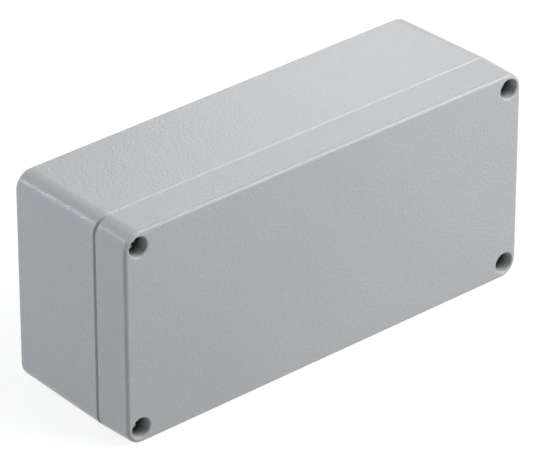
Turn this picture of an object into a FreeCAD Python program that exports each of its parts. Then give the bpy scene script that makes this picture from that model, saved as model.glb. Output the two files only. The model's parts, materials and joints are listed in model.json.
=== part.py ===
import FreeCAD, Part
import math
import os
import Sketcher

# Die cast aluminium box: a deep base and a shallow lid, both drafted castings that meet in a
# tongue and groove seal. Four captive screws stand in deep bores at the lid's corners. Each
# piece is drawn in the case's own frame: its origin is the middle of the parting face, its
# z axis points out through the lid, and the placement turns that axis to the front (-Y).

SIZES = {
    # Outside of the closed box, measured at the parting face
    "box_length": 175.0,
    "box_width": 80.0,
    "box_depth": 57.0,
    "lid_depth": 15.0,
    "corner_radius": 6.4,
    "base_draft": 0.95,
    "lid_draft": 1.4,
    "base_edge_round": 1.2,
    "lid_edge_round": 1.3,
    # Joint between the castings: they meet on the seal and leave a fine gap round it
    "seam_gap": 0.25,
    "base_rim_chamfer": 0.85,
    "lid_rim_chamfer": 0.3,
    # Walls and inner faces
    "side_wall": 3.4,
    "base_floor": 3.5,
    "lid_plate": 3.2,
    # Seal: a tongue on the base, a groove in the lid and the cord between them
    "seal_corner": 6.0,
    "tongue_thickness": 1.5,
    "tongue_rise": 1.0,
    "groove_play": 0.35,
    "groove_depth": 3.2,
    "lip_thickness": 1.3,
    "gasket_play": 0.1,
    # Lid screws, this far in from the box's sides and ends, and the bores that they stand in
    "screw_inset": 6.0,
    "thread_radius": 2.0,
    "head_radius": 3.5,
    "head_height": 2.6,
    "head_play": 0.15,
    "head_sink": 5.4,
    "slot_width": 1.2,
    "slot_depth": 1.1,
    "waist_radius": 1.55,
    "thread_length": 8.5,
    "thread_play": 0.05,
    "shank_play": 0.25,
    "bore_mouth": 0.4,
    "column_bore_spare": 1.5,
    # Retaining ring on the waist of each lid screw
    "ring_radius": 2.6,
    "ring_thickness": 1.2,
    "ring_play": 0.05,
    "ring_room": 0.3,
    "ring_clearance": 0.1,
    "head_seat_thickness": 2.4,
    # Wall fixing holes, each a step along the end wall from a lid screw
    "fixing_step": 8.0,
    "fixing_hole_radius": 2.25,
    "fixing_access_radius": 4.2,
    "fixing_seat_thickness": 5.0,
    "column_wall": 1.6,
    # Bosses on the inside of the floor for a terminal rail
    "rail_inset": 25.5,
    "boss_radius": 4.5,
    "boss_height": 6.0,
    "boss_bore_depth": 7.0,
    # Earth terminal, placed from the right end and the lower side: saddle, spring washer, screw
    "earth_end_inset": 47.5,
    "earth_side_inset": 16.0,
    "saddle_thickness": 1.0,
    "saddle_play": 0.3,
    "saddle_length": 9.0,
    "saddle_ear": 1.5,
    "spring_washer_radius": 3.6,
    "spring_washer_thickness": 0.9,
    "spring_washer_gap": 0.8,
    "earth_screw_length": 8.5,
}

TOLERANCE = 1e-4


class Size:
    """A length or angle: its number places a sketch's first lines, its formula binds them."""

    def __init__(self, number, formula):
        self.number = number
        self.formula = formula

    def __add__(self, other):
        return Size(self.number + other.number, f"({self.formula} + {other.formula})")

    def __sub__(self, other):
        return Size(self.number - other.number, f"({self.formula} - {other.formula})")

    def __mul__(self, times):
        return Size(self.number * times, f"({self.formula} * {times})")

    def __neg__(self):
        return self * -1


def size(name):
    return Size(SIZES[name], f"sizes.{name}")


def bind(item, path, value):
    item.setExpression(path, value.formula)


# The sheet of driving sizes: name, number

document = FreeCAD.newDocument("die_cast_box")
sheet = document.addObject("Spreadsheet::Sheet", "sizes")
for row, (name, number) in enumerate(SIZES.items(), start=1):
    sheet.set(f"A{row}", name)
    sheet.set(f"B{row}", str(number))
    sheet.setAlias(f"B{row}", name)
document.recompute()

ZERO = Size(0.0, "0")

# Levels along the case's z axis, from the parting face
base_depth = size("box_depth") - size("lid_depth")
floor_level = size("base_floor") - base_depth
boss_level = floor_level + size("boss_height")
lid_face = size("lid_depth")
head_top = lid_face - size("head_sink")
head_seat = head_top - size("head_height")
thread_start = size("seam_gap") + size("ring_clearance")
screw_tip = thread_start - size("thread_length")

# Places of what repeats in the four corners, and of what stands on the floor
half_length = size("box_length") * 0.5
half_width = size("box_width") * 0.5
screw_x = half_length - size("screw_inset")
screw_y = half_width - size("screw_inset")
fixing_y = screw_y - size("fixing_step")
rail_x = half_length - size("rail_inset")
earth_x = half_length - size("earth_end_inset")
earth_y = size("earth_side_inset") - half_width
corner_signs = [(-1, 1), (1, 1), (-1, -1), (1, -1)]

# How far each slot and split is turned about its screw's axis, in degrees
LID_SCREW_TURNS = (25.0, 70.0, 115.0, 50.0)
SPRING_WASHER_TURN = 30.0
EARTH_SCREW_TURN = 40.0

# The seal's middle line: along the outer walls, and slantwise past the four columns. The slant
# keeps its distance from the fixing bore, which is the column's innermost one.
DIAGONAL_SHARE = math.tan(math.pi / 8)
seal_half = size("tongue_thickness") * 0.5
column_reach = size("fixing_access_radius") + size("column_wall") + seal_half
slant_sum = screw_x + fixing_y - column_reach * math.sqrt(2)
seal_end = half_length - size("side_wall") + seal_half
seal_side = half_width - size("side_wall") + seal_half
seal_cut_x = slant_sum - seal_side
seal_cut_y = slant_sum - seal_end
groove_half = seal_half + size("groove_play")


def new_body(label, x=ZERO, y=ZERO, z=ZERO, turn=0.0):
    """A body of its own, with its origin at x, y, z of the case's frame, turned about z."""
    body = document.addObject("PartDesign::Body", label)
    body.Label = label
    to_front = FreeCAD.Rotation(FreeCAD.Vector(1, 0, 0), 90)
    about_axis = FreeCAD.Rotation(FreeCAD.Vector(0, 0, 1), turn)
    body.Placement = FreeCAD.Placement(FreeCAD.Vector(0, 0, 0), to_front.multiply(about_axis))
    bind(body, "Placement.Base.x", x)
    bind(body, "Placement.Base.y", size("lid_depth") - size("box_depth") * 0.5 - z)
    bind(body, "Placement.Base.z", half_width + y)
    return body


def origin_plane(body, role):
    for feature in body.Origin.OriginFeatures:
        if feature.Role == role:
            return feature
    raise ValueError(role)


def new_sketch(body, name, plane="XY_Plane", shift=(ZERO, ZERO, ZERO)):
    """A sketch on one of the body's own origin planes, shifted in that plane's own axes."""
    sketch = body.newObject("Sketcher::SketchObject", name)
    sketch.AttachmentSupport = [(origin_plane(body, plane), "")]
    sketch.MapMode = "FlatFace"
    for axis, distance in zip("xyz", shift):
        bind(sketch, f"AttachmentOffset.Base.{axis}", distance)
    document.recompute()
    return sketch


def fix(sketch, kind, geometry, point, distance):
    """Hold a point at a bound distance from the sketch's origin, or on its axis."""
    if distance.formula == ZERO.formula:
        axis = -2 if kind == "DistanceX" else -1
        sketch.addConstraint(Sketcher.Constraint("PointOnObject", geometry, point, axis))
        return
    constraint = Sketcher.Constraint(kind, -1, 1, geometry, point, distance.number)
    index = sketch.addConstraint(constraint)
    bind(sketch, f"Constraints[{index}]", distance)


def draw_outline(sketch, corners):
    """A closed outline through corners (x, y) or (x, y, radius), each corner bound to its place."""
    count = len(corners)
    points = [FreeCAD.Vector(corner[0].number, corner[1].number, 0) for corner in corners]
    radii = [corner[2] if len(corner) > 2 else None for corner in corners]
    first = sketch.GeometryCount
    for index in range(count):
        following = (index + 1) % count
        start = points[index]
        end = points[following]
        way = (end - start).normalize()
        if radii[index]:
            start = start + way * rounding_reach(points, index, radii[index])
        if radii[following]:
            end = end - way * rounding_reach(points, following, radii[following])
        sketch.addGeometry(Part.LineSegment(start, end))
    for index in range(count):
        line_in = first + (index - 1) % count
        line_out = first + index
        if radii[index]:
            corner = sketch.addGeometry(Part.Point(points[index]), True)
            sketch.addConstraint(Sketcher.Constraint("PointOnObject", corner, 1, line_in))
            sketch.addConstraint(Sketcher.Constraint("PointOnObject", corner, 1, line_out))
            round_corner(sketch, line_in, line_out, points[index], radii[index])
        else:
            corner = line_out
            sketch.addConstraint(Sketcher.Constraint("Coincident", line_in, 2, line_out, 1))
        fix(sketch, "DistanceX", corner, 1, corners[index][0])
        fix(sketch, "DistanceY", corner, 1, corners[index][1])


def rounding_reach(points, index, radius):
    """How far from a corner the arc of a given radius starts."""
    back = points[index - 1] - points[index]
    on = points[(index + 1) % len(points)] - points[index]
    return radius.number / math.tan(back.getAngle(on) / 2)


def round_corner(sketch, line_in, line_out, corner, radius):
    """An arc tangent to the line that ends near the corner and the line that leaves it."""
    start = sketch.getPoint(line_in, 2)
    end = sketch.getPoint(line_out, 1)
    inward = ((start + end) * 0.5 - corner).normalize()
    half_turn = (start - corner).getAngle(inward)
    centre = corner + inward * (radius.number / math.sin(half_turn))
    arc = sketch.addGeometry(Part.Arc(start, centre - inward * radius.number, end))
    first_end = 1 if sketch.getPoint(arc, 1).distanceToPoint(start) < TOLERANCE else 2
    sketch.addConstraint(Sketcher.Constraint("Tangent", line_in, 2, arc, first_end))
    sketch.addConstraint(Sketcher.Constraint("Tangent", line_out, 1, arc, 3 - first_end))
    index = sketch.addConstraint(Sketcher.Constraint("Radius", arc, radius.number))
    bind(sketch, f"Constraints[{index}]", radius)


def draw_rectangle(sketch, length, width):
    x = length * 0.5
    y = width * 0.5
    draw_outline(sketch, [(-x, -y), (x, -y), (x, y), (-x, y)])


def draw_seal_line(sketch, outward):
    """The seal's middle line, moved outward by a distance that may be negative."""
    end = seal_end + outward
    side = seal_side + outward
    cut_x = seal_cut_x + outward * DIAGONAL_SHARE
    cut_y = seal_cut_y + outward * DIAGONAL_SHARE
    corner = size("seal_corner") + outward
    draw_outline(sketch, [
        (end, -cut_y, corner), (end, cut_y, corner), (cut_x, side, corner),
        (-cut_x, side, corner), (-end, cut_y, corner), (-end, -cut_y, corner),
        (-cut_x, -side, corner), (cut_x, -side, corner),
    ])


def draw_circle(sketch, x, y, radius):
    centre = FreeCAD.Vector(x.number, y.number, 0)
    circle = sketch.addGeometry(Part.Circle(centre, FreeCAD.Vector(0, 0, 1), radius.number))
    fix(sketch, "DistanceX", circle, 3, x)
    fix(sketch, "DistanceY", circle, 3, y)
    index = sketch.addConstraint(Sketcher.Constraint("Radius", circle, radius.number))
    bind(sketch, f"Constraints[{index}]", radius)


def add_feature(body, kind, name, sketch, changes, **bound):
    """A pad, pocket, revolution or groove from a sketch, checked to add or take material."""
    before = body.Shape.Volume if body.Tip else 0.0
    feature = body.newObject(f"PartDesign::{kind}", name)
    feature.Profile = sketch
    sketch.Visibility = False
    for path, value in bound.items():
        if isinstance(value, Size):
            bind(feature, path, value)
        else:
            setattr(feature, path, value)
    body.Tip = feature
    document.recompute()
    change = body.Shape.Volume - before
    if change * changes <= 0:
        raise ValueError(f"{name} changes the volume by {change:.3f}")
    return feature


def pad(body, name, sketch, **bound):
    return add_feature(body, "Pad", name, sketch, 1, **bound)


def pocket(body, name, sketch, **bound):
    return add_feature(body, "Pocket", name, sketch, -1, **bound)


def revolution(body, name, sketch, **bound):
    return add_feature(body, "Revolution", name, sketch, 1,
                       ReferenceAxis=(sketch, ["V_Axis"]), Angle=360.0, **bound)


def groove(body, name, sketch, **bound):
    return add_feature(body, "Groove", name, sketch, -1,
                       ReferenceAxis=(sketch, ["V_Axis"]), Angle=360.0, **bound)


def in_four_corners(body, name, originals):
    """Mirror features about both middle planes, so that they stand in all four corners."""
    several = body.newObject("PartDesign::MultiTransform", name)
    several.Originals = originals
    mirrors = []
    for role in ("YZ_Plane", "XZ_Plane"):
        mirror = body.newObject("PartDesign::Mirrored", f"{name}_{role[:2].lower()}")
        mirror.MirrorPlane = (origin_plane(body, role), [""])
        mirrors.append(mirror)
    several.Transformations = mirrors
    body.Tip = several
    document.recompute()
    return several


def draft_sides(body, name, angle, downward):
    """Lean a block's upright faces inwards, away from the parting face."""
    before = body.Shape.Volume
    last = body.Tip
    names = []
    for number, face in enumerate(last.Shape.Faces, start=1):
        if abs(face.normalAt(0, 0).z) < TOLERANCE:
            names.append(f"Face{number}")
    draft = body.newObject("PartDesign::Draft", name)
    draft.Base = (last, names)
    draft.NeutralPlane = (origin_plane(body, "XY_Plane"), [""])
    draft.Reversed = downward
    bind(draft, "Angle", angle)
    body.Tip = draft
    document.recompute()
    if body.Shape.Volume >= before:
        raise ValueError(f"{name} leans outwards")
    return draft


def dress_edges(body, kind, name, path, amount, wanted):
    """Dress the edges of the body's last feature that the function wanted picks."""
    last = body.Tip
    names = []
    for number, edge in enumerate(last.Shape.Edges, start=1):
        if wanted(edge):
            names.append(f"Edge{number}")
    feature = body.newObject(f"PartDesign::{kind}", name)
    feature.Base = (last, names)
    bind(feature, path, amount)
    body.Tip = feature
    document.recompute()
    return feature


def round_edges(body, name, radius, wanted):
    return dress_edges(body, "Fillet", name, "Radius", radius, wanted)


def bevel_edges(body, name, width, wanted):
    return dress_edges(body, "Chamfer", name, "Size", width, wanted)


def stands_up(edge):
    """The slanting upright edges of a tapered block."""
    box = edge.BoundBox
    return box.ZLength > max(box.XLength, box.YLength)


def lies_at(level):
    """A test for edges that lie in the plane at a level of the body's z axis."""
    def test(edge):
        box = edge.BoundBox
        return abs(box.ZMin - level.number) < 0.01 and abs(box.ZMax - level.number) < 0.01
    return test


# Base casting: tapered block, cavity between the four columns, tongue, bores and bosses

base = new_body("base")
outline = new_sketch(base, "base_outline")
draw_rectangle(outline, size("box_length"), size("box_width"))
pad(base, "base_block", outline, Length=base_depth, Reversed=True)
draft_sides(base, "base_sides", size("base_draft"), downward=True)
round_edges(base, "base_corners", size("corner_radius"), stands_up)
round_edges(base, "base_back_edge", size("base_edge_round"), lies_at(-base_depth))
bevel_edges(base, "base_rim_edge", size("base_rim_chamfer"), lies_at(ZERO))

cavity = new_sketch(base, "base_cavity_outline")
draw_seal_line(cavity, -seal_half)
pocket(base, "base_cavity", cavity, Length=-floor_level)

tongue = new_sketch(base, "tongue_outline")
draw_seal_line(tongue, seal_half)
draw_seal_line(tongue, -seal_half)
pad(base, "tongue", tongue, Length=size("tongue_rise"))

# Threaded bore in each column for the lid screw
thread_bore_radius = size("thread_radius") + size("thread_play")
column_bore = new_sketch(base, "column_bore_outline")
draw_circle(column_bore, screw_x, screw_y, thread_bore_radius)
column_bore_cut = pocket(base, "column_bore", column_bore,
                         Length=size("column_bore_spare") - screw_tip)

# Wall fixing hole beside it, reached by a wide bore from the parting face
fixing_seat_level = size("fixing_seat_thickness") - base_depth
fixing = new_sketch(base, "fixing_hole_section", "XZ_Plane", (screw_x, ZERO, -fixing_y))
draw_outline(fixing, [
    (ZERO, ZERO), (size("fixing_access_radius"), ZERO),
    (size("fixing_access_radius"), fixing_seat_level),
    (size("fixing_hole_radius"), fixing_seat_level),
    (size("fixing_hole_radius"), -base_depth), (ZERO, -base_depth),
])
fixing_cut = groove(base, "fixing_hole", fixing)
in_four_corners(base, "corner_bores", [column_bore_cut, fixing_cut])

# Threaded bosses on the floor: two for a rail and one for the earth terminal
boss_places = [(-rail_x, ZERO), (rail_x, ZERO), (earth_x, earth_y)]
boss_outlines = new_sketch(base, "boss_outlines", shift=(ZERO, ZERO, floor_level))
boss_bores = new_sketch(base, "boss_bore_outlines", shift=(ZERO, ZERO, boss_level))
for x, y in boss_places:
    draw_circle(boss_outlines, x, y, size("boss_radius"))
    draw_circle(boss_bores, x, y, thread_bore_radius)
pad(base, "bosses", boss_outlines, Length=size("boss_height"))
pocket(base, "boss_bores", boss_bores, Length=size("boss_bore_depth"))

# Lid casting: tapered plate with a hollow, the gasket's groove and the deep screw bores

lid = new_body("lid")
outline = new_sketch(lid, "lid_outline", shift=(ZERO, ZERO, size("seam_gap")))
draw_rectangle(outline, size("box_length"), size("box_width"))
pad(lid, "lid_block", outline, Length=lid_face - size("seam_gap"))
draft_sides(lid, "lid_sides", size("lid_draft"), downward=False)
round_edges(lid, "lid_corners", size("corner_radius"), stands_up)
round_edges(lid, "lid_front_edge", size("lid_edge_round"), lies_at(lid_face))
bevel_edges(lid, "lid_rim_edge", size("lid_rim_chamfer"), lies_at(size("seam_gap")))

hollow = new_sketch(lid, "lid_hollow_outline")
draw_seal_line(hollow, -groove_half - size("lip_thickness"))
pocket(lid, "lid_hollow", hollow, Length=lid_face - size("lid_plate"), Reversed=True)

seal_groove = new_sketch(lid, "seal_groove_outline")
draw_seal_line(seal_groove, groove_half)
draw_seal_line(seal_groove, -groove_half)
pocket(lid, "seal_groove", seal_groove, Length=size("groove_depth"), Reversed=True)

head_bore_radius = size("head_radius") + size("head_play")
shank_bore_radius = size("thread_radius") + size("shank_play")
ring_bore_radius = size("ring_radius") + size("ring_room")
ring_ceiling = head_seat - size("head_seat_thickness")
lid_bore = new_sketch(lid, "screw_bore_section", "XZ_Plane", (screw_x, ZERO, -screw_y))
draw_outline(lid_bore, [
    (ZERO, lid_face), (head_bore_radius + size("bore_mouth"), lid_face),
    (head_bore_radius, lid_face - size("bore_mouth")), (head_bore_radius, head_seat),
    (shank_bore_radius, head_seat), (shank_bore_radius, ring_ceiling),
    (ring_bore_radius, ring_ceiling), (ring_bore_radius, ZERO), (ZERO, ZERO),
])
lid_bore_cut = groove(lid, "screw_bore", lid_bore)
in_four_corners(lid, "screw_bores", [lid_bore_cut])

# Gasket: a cord of soft rubber pressed into the groove, ending on the tongue

gasket = new_body("gasket")
gasket_outline = new_sketch(gasket, "gasket_outline", shift=(ZERO, ZERO, size("tongue_rise")))
draw_seal_line(gasket_outline, groove_half - size("gasket_play"))
draw_seal_line(gasket_outline, size("gasket_play") - groove_half)
pad(gasket, "gasket_cord", gasket_outline, Length=size("groove_depth") - size("tongue_rise"))


def cut_slot(body, head_level):
    """A screwdriver slot across a screw's head."""
    slot = new_sketch(body, "slot_outline", shift=(ZERO, ZERO, head_level))
    draw_rectangle(slot, (size("head_radius") + size("slot_width")) * 2, size("slot_width"))
    pocket(body, "slot", slot, Length=size("slot_depth"))


def make_lid_screw(number, x_sign, y_sign, turn):
    """A captive screw: slotted cheese head, thin waist and a thread at its end."""
    screw = new_body(f"lid_screw_{number}", screw_x * x_sign, screw_y * y_sign, ZERO, turn)
    section = new_sketch(screw, "screw_section", "XZ_Plane")
    draw_outline(section, [
        (ZERO, head_top), (size("head_radius"), head_top),
        (size("head_radius"), head_seat), (size("waist_radius"), head_seat),
        (size("waist_radius"), thread_start), (size("thread_radius"), thread_start),
        (size("thread_radius"), screw_tip), (ZERO, screw_tip),
    ])
    revolution(screw, "screw_turned", section)
    cut_slot(screw, head_top)
    return screw


def make_screw_ring(number, x_sign, y_sign):
    """The ring that keeps a lid screw in the lid: it snaps over the thread onto the waist."""
    ring = new_body(f"screw_ring_{number}", screw_x * x_sign, screw_y * y_sign, thread_start)
    outline = new_sketch(ring, "ring_outline")
    draw_circle(outline, ZERO, ZERO, size("ring_radius"))
    draw_circle(outline, ZERO, ZERO, size("waist_radius") + size("ring_play"))
    pad(ring, "ring", outline, Length=size("ring_thickness"))
    return ring


bodies = [base, lid, gasket]
for number, ((x_sign, y_sign), turn) in enumerate(zip(corner_signs, LID_SCREW_TURNS), start=1):
    bodies.append(make_lid_screw(number, x_sign, y_sign, turn))
    bodies.append(make_screw_ring(number, x_sign, y_sign))

# Earth terminal on its boss: a saddle that clamps the wire, a spring washer and a screw

saddle_hole = size("thread_radius") + size("shank_play")
saddle_half = size("boss_radius") + size("saddle_play")
saddle_width = saddle_half + size("saddle_thickness")
saddle = new_body("earth_saddle", earth_x, earth_y, boss_level)
section = new_sketch(saddle, "saddle_section", "XZ_Plane",
                     (ZERO, ZERO, -size("saddle_length") * 0.5))
draw_outline(section, [
    (-saddle_width, -size("saddle_ear")), (-saddle_half, -size("saddle_ear")),
    (-saddle_half, ZERO), (saddle_half, ZERO), (saddle_half, -size("saddle_ear")),
    (saddle_width, -size("saddle_ear")),
    (saddle_width, size("saddle_thickness"), size("saddle_thickness")),
    (-saddle_width, size("saddle_thickness"), size("saddle_thickness")),
])
pad(saddle, "saddle_strip", section, Length=size("saddle_length"))
hole = new_sketch(saddle, "saddle_hole_outline", shift=(ZERO, ZERO, size("saddle_thickness")))
draw_circle(hole, ZERO, ZERO, saddle_hole)
pocket(saddle, "saddle_hole", hole, Length=size("saddle_thickness"))

washer_level = boss_level + size("saddle_thickness")
washer = new_body("earth_spring_washer", earth_x, earth_y, washer_level, SPRING_WASHER_TURN)
outline = new_sketch(washer, "washer_outline")
draw_circle(outline, ZERO, ZERO, size("spring_washer_radius"))
draw_circle(outline, ZERO, ZERO, saddle_hole)
pad(washer, "washer", outline, Length=size("spring_washer_thickness"))
split = new_sketch(washer, "washer_split_outline",
                   shift=(ZERO, ZERO, size("spring_washer_thickness")))
half_gap = size("spring_washer_gap") * 0.5
split_end = size("spring_washer_radius") + size("spring_washer_gap")
draw_outline(split, [(ZERO, -half_gap), (split_end, -half_gap), (split_end, half_gap), (ZERO, half_gap)])
pocket(washer, "washer_split", split, Length=size("spring_washer_thickness"))

earth_head_seat = washer_level + size("spring_washer_thickness")
earth_screw = new_body("earth_screw", earth_x, earth_y, earth_head_seat, EARTH_SCREW_TURN)
section = new_sketch(earth_screw, "earth_screw_section", "XZ_Plane")
draw_outline(section, [
    (ZERO, size("head_height")), (size("head_radius"), size("head_height")),
    (size("head_radius"), ZERO), (size("thread_radius"), ZERO),
    (size("thread_radius"), -size("earth_screw_length")), (ZERO, -size("earth_screw_length")),
])
revolution(earth_screw, "earth_screw_turned", section)
cut_slot(earth_screw, size("head_height"))
bodies += [saddle, washer, earth_screw]

# Every object must have computed, and every body must be one sound solid

document.recompute()
for item in document.Objects:
    if "Invalid" in item.State or "Error" in item.State:
        raise ValueError(f"{item.Name} did not compute")
os.makedirs("parts", exist_ok=True)
for body in bodies:
    if body.Shape.isNull() or not body.Shape.isValid() or len(body.Shape.Solids) != 1:
        raise ValueError(f"{body.Label} is not one sound solid")
for body in bodies:
    body.Shape.exportStep(f"parts/{body.Label}.step")
    print(f"{body.Label} {body.Shape.Volume / 1000:.3f} cm3")
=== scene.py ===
import json
import math

import bmesh
import bpy
from mathutils import Matrix, Vector


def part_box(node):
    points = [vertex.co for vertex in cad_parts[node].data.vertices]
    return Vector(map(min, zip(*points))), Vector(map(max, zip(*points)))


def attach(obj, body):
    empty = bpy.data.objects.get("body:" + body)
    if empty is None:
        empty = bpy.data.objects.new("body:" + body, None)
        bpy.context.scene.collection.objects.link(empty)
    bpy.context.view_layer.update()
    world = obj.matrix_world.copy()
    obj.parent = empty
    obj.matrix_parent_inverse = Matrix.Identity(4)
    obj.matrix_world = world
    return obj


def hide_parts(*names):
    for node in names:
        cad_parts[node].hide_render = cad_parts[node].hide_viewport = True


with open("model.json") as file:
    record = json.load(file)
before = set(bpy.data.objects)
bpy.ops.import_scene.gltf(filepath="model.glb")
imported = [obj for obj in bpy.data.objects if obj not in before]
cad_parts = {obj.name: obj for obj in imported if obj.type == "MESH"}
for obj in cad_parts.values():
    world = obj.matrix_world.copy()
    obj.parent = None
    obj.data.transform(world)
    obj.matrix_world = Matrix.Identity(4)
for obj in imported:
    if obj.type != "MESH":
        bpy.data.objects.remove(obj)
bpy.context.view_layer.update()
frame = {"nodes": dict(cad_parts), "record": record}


# Base casting. It is the deep half of the box, die cast in aluminium and powder coated in a
# satin light grey that dries to a fine orange peel. Its face at the joint carries painted shade,
# a mottled near-black that makes the seam read dark, and the tapped bores and the tops of the
# bosses are cut after coating.

millimetre = 0.001
coat_colour = (0.452, 0.458, 0.467, 1.0)
coat_thin_colour = (0.510, 0.515, 0.523, 1.0)
coat_roughness = 0.24
coat_flow_per_metre = 14.0
coat_flow_low, coat_flow_high = 0.3, 0.7
coat_thinnest_share = 0.35
peel_size = 0.85 * millimetre
peel_height = 0.16 * millimetre
edge_softness = 0.3 * millimetre
bare_aluminium_colour = (0.62, 0.63, 0.64, 1.0)
tool_marks_per_metre = 2600.0
tool_mark_height = 0.01 * millimetre
# Painted shade for the seam: the faces at the joint are painted a mottled near-black.
joint_shade_dark_colour = (0.10, 0.101, 0.102, 1.0)
joint_shade_pale_colour = (0.19, 0.191, 0.192, 1.0)
joint_shade_marks_per_metre = 450.0


def new_material(name):
    """An empty node material with its surface shader and output."""
    material = bpy.data.materials.new(name)
    material.use_nodes = True
    nodes = material.node_tree.nodes
    nodes.clear()
    shader = nodes.new("ShaderNodeBsdfPrincipled")
    output = nodes.new("ShaderNodeOutputMaterial")
    material.node_tree.links.new(shader.outputs["BSDF"], output.inputs["Surface"])
    return material, shader


def set_inputs(owner, node, **inputs):
    """Gives a node's inputs values, or joins them to outputs of other nodes; i0 is input 0."""
    for name, value in inputs.items():
        by_number = name[0] == "i" and name[1:].isdigit()
        socket = node.inputs[int(name[1:]) if by_number else name.replace("_", " ")]
        if isinstance(value, bpy.types.NodeSocket):
            owner.node_tree.links.new(value, socket)
        else:
            socket.default_value = value


def add_node(owner, kind, settings=None, **inputs):
    """A node of a material or of the world."""
    node = owner.node_tree.nodes.new(kind)
    for name, value in (settings or {}).items():
        setattr(node, name, value)
    set_inputs(owner, node, **inputs)
    return node


def add_noise(material, per_metre, detail, **more):
    """A noise from 0 to 1 that stays fixed to its piece."""
    place = add_node(material, "ShaderNodeTexCoord").outputs["Object"]
    noise = add_node(material, "ShaderNodeTexNoise", Vector=place, Scale=per_metre,
                     Detail=detail, **more)
    return noise.outputs["Fac"]


def spread(owner, value, low, high, **more):
    """A value from 0 to 1, or over the range given, spread to run from low to high."""
    spread_node = add_node(owner, "ShaderNodeMapRange", Value=value, To_Min=low, To_Max=high,
                           **more)
    return spread_node.outputs["Result"]


def blend_colours(material, share, first, second):
    """A colour that goes from the first to the second as the share goes from 0 to 1."""
    blend = add_node(material, "ShaderNodeMix", {"data_type": "RGBA"}, Factor=share,
                     i6=first, i7=second)
    return blend.outputs[2]


def raise_bumps(material, relief, strength, height, **more):
    """The surface's direction where a relief of this height stands on it."""
    bump = add_node(material, "ShaderNodeBump", Strength=strength, Distance=height,
                    Height=relief, **more)
    return bump.outputs["Normal"]


def dress(piece, *materials):
    """Gives a piece these materials in place of those that it has."""
    piece.data.materials.clear()
    for material in materials:
        piece.data.materials.append(material)


coat, shader = new_material("grey_powder_coat")
peel = add_noise(coat, 1.0 / peel_size, detail=2.0, Roughness=0.45, Distortion=0.3)
soft_edges = add_node(coat, "ShaderNodeBevel", {"samples": 6}, Radius=edge_softness)
flow = add_noise(coat, coat_flow_per_metre, detail=3.0)
flow_share = spread(coat, flow, low=0.0, high=coat_thinnest_share,
                    From_Min=coat_flow_low, From_Max=coat_flow_high)
set_inputs(coat, shader, Roughness=coat_roughness, Specular_IOR_Level=0.5,
           Base_Color=blend_colours(coat, flow_share, coat_colour, coat_thin_colour),
           Normal=raise_bumps(coat, peel, strength=1.0, height=peel_height,
                              Normal=soft_edges.outputs["Normal"]))

bare_aluminium, shader = new_material("bare_cut_aluminium")
tool_marks = add_noise(bare_aluminium, tool_marks_per_metre, detail=3.0)
set_inputs(bare_aluminium, shader, Base_Color=bare_aluminium_colour, Metallic=1.0,
           Roughness=spread(bare_aluminium, tool_marks, low=0.25, high=0.45),
           Normal=raise_bumps(bare_aluminium, tool_marks, strength=0.6,
                              height=tool_mark_height))

# Painted shade: a mottled near-black on the faces at the joint, so the gap reads as a dark line.
joint_shade_paint, shader = new_material("painted_joint_shade")
joint_shade_marks = add_noise(joint_shade_paint, joint_shade_marks_per_metre, detail=4.0)
set_inputs(joint_shade_paint, shader, Roughness=0.6,
           Base_Color=blend_colours(joint_shade_paint, joint_shade_marks, joint_shade_dark_colour, joint_shade_pale_colour))

boss_radius = 4.5 * millimetre
seam_gap = 0.25 * millimetre
level_play = 0.05 * millimetre
bore_wall_play = 1.02
facing_share = 0.9
coat_slot, inner_slot, joint_slot = 0, 1, 2
record_mounts = {mount["name"]: mount for mount in frame["record"]["mounts"]}
rail_bosses = record_mounts["rail_bosses"]
tapped_radius = rail_bosses["dims"]["hole_r_mm"] * millimetre
rail_half = rail_bosses["dims"]["spacing_x_mm"] / 2 * millimetre
rail_x, rail_y, rail_z = rail_bosses["pos_m"]
parting_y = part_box("lid")[1][1] + seam_gap


def axis_of(node):
    """Where the axis of a turned piece, which runs along Y, passes in x and z."""
    low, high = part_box(node)
    return (low[0] + high[0]) / 2, (low[2] + high[2]) / 2


screw_axes = [axis_of(f"lid_screw_{number}") for number in (1, 2, 3, 4)]
boss_axes = [axis_of("earth_screw"), (rail_x - rail_half, rail_z), (rail_x + rail_half, rail_z)]


def is_near(face, axes, reach):
    """Whether a face's middle lies within reach of one of these axes."""
    middle = face.center
    return any(math.hypot(middle.x - axis_x, middle.z - axis_z) < reach
               for axis_x, axis_z in axes)


def is_cut(face):
    """Faces of the base that are cut after coating: tapped bores and the tops of the bosses."""
    on_wall = abs(face.normal.y) < facing_share
    if on_wall and is_near(face, screw_axes + boss_axes, tapped_radius * bore_wall_play):
        return True
    on_top = abs(face.center.y - rail_y) < level_play and face.normal.y < -facing_share
    return on_top and is_near(face, boss_axes, boss_radius)


def dress_casting(casting, inner, is_inner, joint_level, joint_way):
    """Coats a casting, except inner faces, and gives the faces at the joint a near-black painted
    shade.
    """
    dress(casting, coat, inner, joint_shade_paint)
    for face in casting.data.polygons:
        at_joint = abs(face.center.y - joint_level) < level_play
        if is_inner(face):
            face.material_index = inner_slot
        elif at_joint and face.normal.y * joint_way > facing_share:
            face.material_index = joint_slot
        else:
            face.material_index = coat_slot


dress_casting(frame["nodes"]["base"], bare_aluminium, is_cut, parting_y, -1)


# Lid casting. It is the shallow half, cast and coated like the base, and its joint carries the
# same painted shade. Its four deep bores are cast with it. Their walls are painted lighter than
# the outer coat near the mouth, as painted light, and fade to near-black further down, as
# painted shade.

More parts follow.
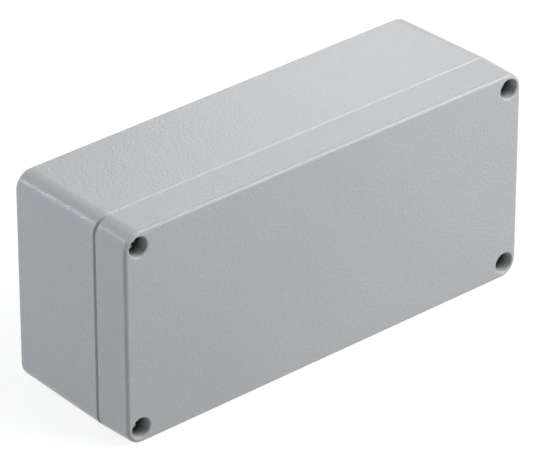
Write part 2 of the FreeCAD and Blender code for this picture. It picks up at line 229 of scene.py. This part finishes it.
# Painted light and shade in the bores: lighter than the outer coat at the mouth, near-black deeper
# down.
bore_mouth_painted_light_colour = (0.55, 0.555, 0.56, 1.0)
bore_painted_shade_colour = (0.05, 0.052, 0.053, 1.0)
bore_flow_per_metre = 700.0
bore_coat_relief = 0.1 * millimetre
bore_reach = 4.3 * millimetre
bore_mouth_bevel = 0.45 * millimetre
painted_shade_starts_at = 2.5 * millimetre
painted_shade_full_at = 6.5 * millimetre
painted_shade_waver = 2.0 * millimetre
lid_low, lid_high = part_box("lid")

# The bore walls fade from painted light at the mouth to painted shade with depth, made ragged by
# noise.
bore_light_and_shade_paint, shader = new_material("bore_painted_light_and_shade")
bore_flow = add_noise(bore_light_and_shade_paint, bore_flow_per_metre, detail=3.0)
bore_place = add_node(bore_light_and_shade_paint, "ShaderNodeTexCoord").outputs["Object"]
bore_depth = add_node(bore_light_and_shade_paint, "ShaderNodeSeparateXYZ", Vector=bore_place).outputs["Y"]
ragged_depth = add_node(bore_light_and_shade_paint, "ShaderNodeMath", {"operation": "MULTIPLY_ADD"},
                        i0=bore_flow, i1=painted_shade_waver, i2=bore_depth).outputs["Value"]
painted_shade_share = spread(bore_light_and_shade_paint, ragged_depth, low=0.0, high=1.0,
                   From_Min=lid_low[1] + painted_shade_starts_at, From_Max=lid_low[1] + painted_shade_full_at)
set_inputs(bore_light_and_shade_paint, shader, Roughness=0.6, Specular_IOR_Level=0.25,
           Base_Color=blend_colours(bore_light_and_shade_paint, painted_shade_share, bore_mouth_painted_light_colour, bore_painted_shade_colour),
           Normal=raise_bumps(bore_light_and_shade_paint, bore_flow, strength=0.6, height=bore_coat_relief))


def is_in_bore(face):
    """Faces of the lid inside the screw bores, behind the bevels of their mouths."""
    if face.center.y < lid_low[1] + bore_mouth_bevel or face.normal.y > facing_share:
        return False
    return is_near(face, screw_axes, bore_reach)


dress_casting(frame["nodes"]["lid"], bore_light_and_shade_paint, is_in_bore, lid_high[1], 1)


# Gasket. It is a cord of foamed rubber, laid in the lid's groove and joined end to end. The
# base's tongue presses on it all the way round.

rubber_colour = (0.018, 0.018, 0.02, 1.0)
rubber_bloom_colour = (0.05, 0.05, 0.053, 1.0)
pores_per_metre = 3200.0
pore_depth = 0.03 * millimetre

rubber, shader = new_material("dark_seal_rubber")
pores = add_noise(rubber, pores_per_metre, detail=4.0)
set_inputs(rubber, shader, Roughness=0.82,
           Base_Color=blend_colours(rubber, pores, rubber_colour, rubber_bloom_colour),
           Normal=raise_bumps(rubber, pores, strength=0.8, height=pore_depth))
dress(frame["nodes"]["gasket"], rubber)


# Lid screws. They are four slotted cheese head screws of bright steel, turned from bar, slotted
# with a saw and threaded by rolling. Their thin waists let the plastic rings hold them in the lid.

steel_colour = (0.72, 0.72, 0.71, 1.0)
turning_marks_per_metre = 4200.0
turning_mark_height = 0.006 * millimetre
screw_head_radius = 3.3 * millimetre
screw_head_height = 2.6 * millimetre
screw_head_round = 0.3 * millimetre
screw_head_dish = 0.8 * millimetre
screw_head_foot = 0.06 * millimetre
dish_bend_out, dish_bend_down = 0.5, 0.55
dish_rim_in, dish_rim_down = 1.8, 0.06
slot_width = 1.2 * millimetre
slot_depth = 1.5 * millimetre
slot_edge = 0.06 * millimetre
slot_edge_angle = math.radians(60)
saw_reach = 2.4
waist_radius = 1.55 * millimetre
waist_end = -13.85 * millimetre
waist_taper = 0.25 * millimetre
thread_radius = 2.0 * millimetre
thread_root = 1.62 * millimetre
thread_pitch = 0.7 * millimetre
ridge_top, ridge_bottom, ridge_end = 0.36, 0.52, 0.88
thread_end_gap = 0.1 * millimetre
screw_tip_bevel = 0.3 * millimetre
screw_sides = 48
sharp_angle = math.radians(32)
merge_distance = 0.0001 * millimetre

steel, shader = new_material("bright_turned_steel")
turning = add_noise(steel, turning_marks_per_metre, detail=2.0)
set_inputs(steel, shader, Base_Color=steel_colour, Metallic=1.0,
           Roughness=spread(steel, turning, low=0.28, high=0.48),
           Normal=raise_bumps(steel, turning, strength=0.35, height=turning_mark_height))


def spin_profile(shape, profile, sides):
    """Spins points (radius, place along the axis) about Z; it closes where the radius is 0."""
    points = [shape.verts.new((radius, 0.0, along)) for radius, along in profile]
    edges = [shape.edges.new(pair) for pair in zip(points, points[1:])]
    bmesh.ops.spin(shape, geom=points + edges, cent=(0, 0, 0), axis=(0, 0, 1),
                   angle=math.tau, steps=sides, use_merge=True)


def rounded_head(radius, height, edge_round, dish, steps=5):
    """Profile of a cheese head from the middle of its dished top to the foot of its side."""
    profile = [(0.0, height - dish),
               (radius * dish_bend_out, height - dish * dish_bend_down),
               (radius - edge_round * dish_rim_in, height - dish * dish_rim_down)]
    for step in range(steps + 1):
        turn = math.pi / 2 * step / steps
        profile.append((radius - edge_round + edge_round * math.sin(turn),
                        height - edge_round + edge_round * math.cos(turn)))
    profile.append((radius, screw_head_foot))
    profile.append((radius - screw_head_foot, 0.0))
    return profile


def wind_thread(shape, top, bottom, per_turn=30):
    """A ridge that winds down a shank and fades out over half a turn at both ends."""
    turns = (top - bottom) / thread_pitch - 1
    count = int(turns * per_turn)
    before = None
    for step in range(count + 1):
        turn = math.tau * step / per_turn
        along = top - thread_pitch * step / per_turn
        full = min(1.0, step / per_turn * 2, (count - step) / per_turn * 2)
        crest = thread_root + (thread_radius - thread_root) * full
        section = []
        for radius, shift in ((thread_root, 0.0), (crest, ridge_top), (crest, ridge_bottom),
                              (thread_root, ridge_end)):
            section.append(shape.verts.new((radius * math.cos(turn), radius * math.sin(turn),
                                            along - shift * thread_pitch)))
        if before:
            for upper, lower in ((0, 1), (1, 2), (2, 3)):
                shape.faces.new((before[upper], before[lower], section[lower], section[upper]))
        before = section


def finish_turned_piece(name, shape, material):
    """Turns the shape into an object, smooth except at its sharp edges."""
    bmesh.ops.remove_doubles(shape, verts=shape.verts, dist=merge_distance)
    bmesh.ops.recalc_face_normals(shape, faces=shape.faces)
    mesh = bpy.data.meshes.new(name)
    shape.to_mesh(mesh)
    shape.free()
    piece = bpy.data.objects.new(name, mesh)
    bpy.context.scene.collection.objects.link(piece)
    mesh.materials.append(material)
    mesh.shade_smooth()
    mesh.set_sharp_from_angle(angle=sharp_angle)
    return piece


def saw_slot(piece, head_radius):
    """Cuts the screwdriver slot with a box centred on the head's top, then drops the box."""
    cutter_shape = bmesh.new()
    bmesh.ops.create_cube(cutter_shape, size=1.0)
    bmesh.ops.scale(cutter_shape, vec=(head_radius * saw_reach, slot_width, slot_depth * 2),
                    verts=cutter_shape.verts)
    bmesh.ops.translate(cutter_shape, vec=(0, 0, screw_head_height), verts=cutter_shape.verts)
    cutter_mesh = bpy.data.meshes.new("slot_saw")
    cutter_shape.to_mesh(cutter_mesh)
    cutter_shape.free()
    cutter = bpy.data.objects.new("slot_saw", cutter_mesh)
    bpy.context.scene.collection.objects.link(cutter)
    cut = piece.modifiers.new("slot", "BOOLEAN")
    cut.operation = "DIFFERENCE"
    cut.solver = "EXACT"
    cut.object = cutter
    edge = piece.modifiers.new("slot_edge", "BEVEL")
    edge.width = slot_edge
    edge.segments = 2
    edge.limit_method = "ANGLE"
    edge.angle_limit = slot_edge_angle
    bpy.context.view_layer.update()
    cut_piece = piece.evaluated_get(bpy.context.evaluated_depsgraph_get())
    sawn = bpy.data.meshes.new_from_object(cut_piece)
    piece.modifiers.clear()
    piece.data = sawn
    bpy.data.objects.remove(cutter)


def stand_at(piece, node, seat, turn):
    """Puts a turned piece on a CAD node's axis, its head out through the lid and its seat at y."""
    x, z = axis_of(node)
    to_front = Matrix.Rotation(math.radians(90), 4, "X")
    turned = Matrix.Rotation(turn, 4, "Z")
    piece.data.transform(Matrix.Translation((x, seat, z)) @ to_front @ turned)


def make_screw(name, material, head_radius, dish, waist, shank_length, thread_length):
    """A slotted screw about Z with its head's seat at 0: head, plain waist and rolled thread."""
    shape = bmesh.new()
    profile = rounded_head(head_radius, screw_head_height, screw_head_round, dish)
    if waist:
        plain_end = thread_length - shank_length
        profile += [(waist, 0.0), (waist, plain_end + waist_taper), (thread_root, plain_end)]
    else:
        profile += [(thread_root, 0.0)]
    profile += [(thread_root, screw_tip_bevel - shank_length),
                (thread_root - screw_tip_bevel, -shank_length), (0.0, -shank_length)]
    spin_profile(shape, profile, screw_sides)
    screw = finish_turned_piece(name, shape, material)
    saw_slot(screw, head_radius)
    thread = bmesh.new()
    thread.from_mesh(screw.data)
    wind_thread(thread, thread_length - shank_length, thread_end_gap - shank_length)
    thread.to_mesh(screw.data)
    thread.free()
    screw.data.shade_smooth()
    screw.data.set_sharp_from_angle(angle=sharp_angle)
    return screw


lid_screw_slots = {"lid_screw_1": 140, "lid_screw_2": 70, "lid_screw_3": 150, "lid_screw_4": 50}
for node, slot_turn in lid_screw_slots.items():
    low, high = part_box(node)
    screw_seat = low[1] + screw_head_height
    screw = make_screw("bright_" + node, steel, screw_head_radius, screw_head_dish,
                       waist_radius, high[1] - screw_seat, high[1] - waist_end)
    stand_at(screw, node, screw_seat, math.radians(slot_turn))
    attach(screw, node.replace("lid_screw", "screw"))
    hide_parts(node)


# Screw rings. They are moulded in pale nylon, and each is snapped over the thread onto its
# screw's waist, where it keeps the screw in the lid.

nylon_colour = (0.72, 0.70, 0.63, 1.0)
nylon_pale_colour = (0.80, 0.78, 0.72, 1.0)
nylon_clouds_per_metre = 900.0
nylon_haze_depth = 0.5 * millimetre

nylon, shader = new_material("pale_nylon")
clouds = add_noise(nylon, nylon_clouds_per_metre, detail=2.0)
set_inputs(nylon, shader, Roughness=0.5, Subsurface_Weight=0.15,
           Subsurface_Scale=nylon_haze_depth,
           Base_Color=blend_colours(nylon, clouds, nylon_colour, nylon_pale_colour))
for ring in ("screw_ring_1", "screw_ring_2", "screw_ring_3", "screw_ring_4"):
    dress(frame["nodes"][ring], nylon)


# Earth terminal. It clamps the earth wire on its boss in the base with a bent saddle, a split
# spring washer and a slotted screw, all of zinc plated steel.

zinc_colour = (0.50, 0.52, 0.54, 1.0)
zinc_pale_colour = (0.66, 0.68, 0.68, 1.0)
spangles_per_metre = 1500.0
earth_head_radius = 3.5 * millimetre
earth_thread_start = 0.3 * millimetre
earth_slot_turn = math.radians(40)

zinc, shader = new_material("zinc_plate")
spangles = add_noise(zinc, spangles_per_metre, detail=3.0)
set_inputs(zinc, shader, Metallic=1.0, Roughness=spread(zinc, spangles, low=0.28, high=0.5),
           Base_Color=blend_colours(zinc, spangles, zinc_colour, zinc_pale_colour))
for node in ("earth_saddle", "earth_spring_washer"):
    dress(frame["nodes"][node], zinc)

low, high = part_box("earth_screw")
earth_seat = low[1] + screw_head_height
earth_length = high[1] - earth_seat
earth_screw = make_screw("zinc_earth_screw", zinc, earth_head_radius, 0.0, None,
                         earth_length, earth_length - earth_thread_start)
stand_at(earth_screw, "earth_screw", earth_seat, earth_slot_turn)
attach(earth_screw, "earth_screw")
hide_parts("earth_screw")


# Table and light. The box stands on a plain white table in a white room. One soft box lights
# its lid, one its top and one its back, two small ones draw out the coat's grain, and a large one
# and a spot on the left light the end.

table_reach = 4000.0 * millimetre
table_gap = 0.02 * millimetre
table_colour = (0.32, 0.32, 0.32, 1.0)
table_glow = 0.80
room_light = 0.09
room_brightness = 1.0
plain_white = (1.0, 1.0, 1.0, 1.0)

table_shape = bmesh.new()
bmesh.ops.create_grid(table_shape, x_segments=1, y_segments=1, size=table_reach)
table_mesh = bpy.data.meshes.new("white_table")
table_shape.to_mesh(table_mesh)
table_shape.free()
table = bpy.data.objects.new("white_table", table_mesh)
bpy.context.scene.collection.objects.link(table)
table.location.z = min(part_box("base")[0][2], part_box("lid")[0][2]) - table_gap


def seen_share(owner):
    """1 for rays that look straight, in a mirror or through glass, and 0 for rays of light."""
    rays = add_node(owner, "ShaderNodeLightPath").outputs
    bent = add_node(owner, "ShaderNodeMath", {"operation": "MAXIMUM"},
                    i0=rays["Is Glossy Ray"], i1=rays["Is Transmission Ray"])
    seen = add_node(owner, "ShaderNodeMath", {"operation": "MAXIMUM"},
                    i0=rays["Is Camera Ray"], i1=bent.outputs["Value"])
    return seen.outputs["Value"]


table_paint, shader = new_material("white_table_top")
glow = add_node(table_paint, "ShaderNodeMath", {"operation": "MULTIPLY"},
                i0=seen_share(table_paint), i1=table_glow)
set_inputs(table_paint, shader, Base_Color=table_colour, Roughness=0.9, Specular_IOR_Level=0.1,
           Emission_Color=plain_white, Emission_Strength=glow.outputs["Value"])
dress(table, table_paint)

world = bpy.data.worlds.new("white_studio")
bpy.context.scene.world = world
world.use_nodes = True
world.node_tree.nodes.clear()
sky = add_node(world, "ShaderNodeBackground", Color=plain_white,
               Strength=spread(world, seen_share(world), low=room_light, high=room_brightness))
add_node(world, "ShaderNodeOutputWorld", Surface=sky.outputs["Background"])

box_middle = Vector((0.0, 0.0, 40.0 * millimetre))
white_light = (1.0, 1.0, 1.0)
pale_light = (0.935, 0.98, 1.0)
cool_light = (0.89, 0.95, 1.0)


def hang_soft_box(name, way, distance, size, tint, watts, mirrored=True):
    """A square soft box that hangs in a direction from the box's middle and faces it."""
    lamp = bpy.data.lights.new(name, "AREA")
    lamp.shape = "SQUARE"
    lamp.size = size
    lamp.color = tint
    lamp.energy = watts
    soft_box = bpy.data.objects.new(name, lamp)
    bpy.context.scene.collection.objects.link(soft_box)
    away = Vector(way).normalized()
    soft_box.location = box_middle + away * distance
    soft_box.rotation_euler = away.to_track_quat("Z", "Y").to_euler()
    soft_box.visible_glossy = mirrored


hang_soft_box("front_soft_box", (0.42, -0.76, 0.50), distance=0.80, size=0.50,
              tint=pale_light, watts=4.3, mirrored=False)
hang_soft_box("right_top_soft_box", (0.57, -0.40, 0.70), distance=0.85, size=0.48,
              tint=white_light, watts=3.7)
hang_soft_box("right_back_soft_box", (0.60, 0.69, 0.41), distance=1.2, size=0.20,
              tint=white_light, watts=0.40)
hang_soft_box("right_back_spot", (0.68, 0.61, 0.48), distance=1.2, size=0.09,
              tint=white_light, watts=0.09)
hang_soft_box("back_soft_box", (0.30, 0.90, 0.30), distance=0.90, size=0.45,
              tint=pale_light, watts=1.3, mirrored=False)
hang_soft_box("left_soft_box", (-0.85, 0.48, 0.22), distance=1.0, size=1.0,
              tint=cool_light, watts=7.7, mirrored=False)
hang_soft_box("left_spot", (-0.62, 0.65, 0.43), distance=0.8, size=0.08,
              tint=cool_light, watts=0.65)


# Camera. It looks through a long lens from above the left front of the box, as in the
# photograph.

camera_azimuth = math.radians(-41.006)
camera_elevation = math.radians(29.888)
camera_roll = math.radians(0.013)
camera_distance = 1531.3 * millimetre
aim = Vector((-1.16 * millimetre, 0.0, 37.0 * millimetre))
view_width_pixels = 540
focal_pixels = 4544.3

back = Vector((math.sin(camera_azimuth) * math.cos(camera_elevation),
               -math.cos(camera_azimuth) * math.cos(camera_elevation),
               math.sin(camera_elevation)))
camera_data = bpy.data.cameras.new("photo_camera")
camera_data.sensor_width = 36.0
camera_data.lens = focal_pixels / view_width_pixels * camera_data.sensor_width
camera = bpy.data.objects.new("photo_camera", camera_data)
bpy.context.scene.collection.objects.link(camera)
camera.location = aim + back * camera_distance
camera.rotation_euler = (back.to_track_quat("Z", "Y").to_matrix()
                         @ Matrix.Rotation(-camera_roll, 3, "Z")).to_euler()
bpy.context.scene.camera = camera
bpy.context.scene.view_settings.view_transform = "Standard"
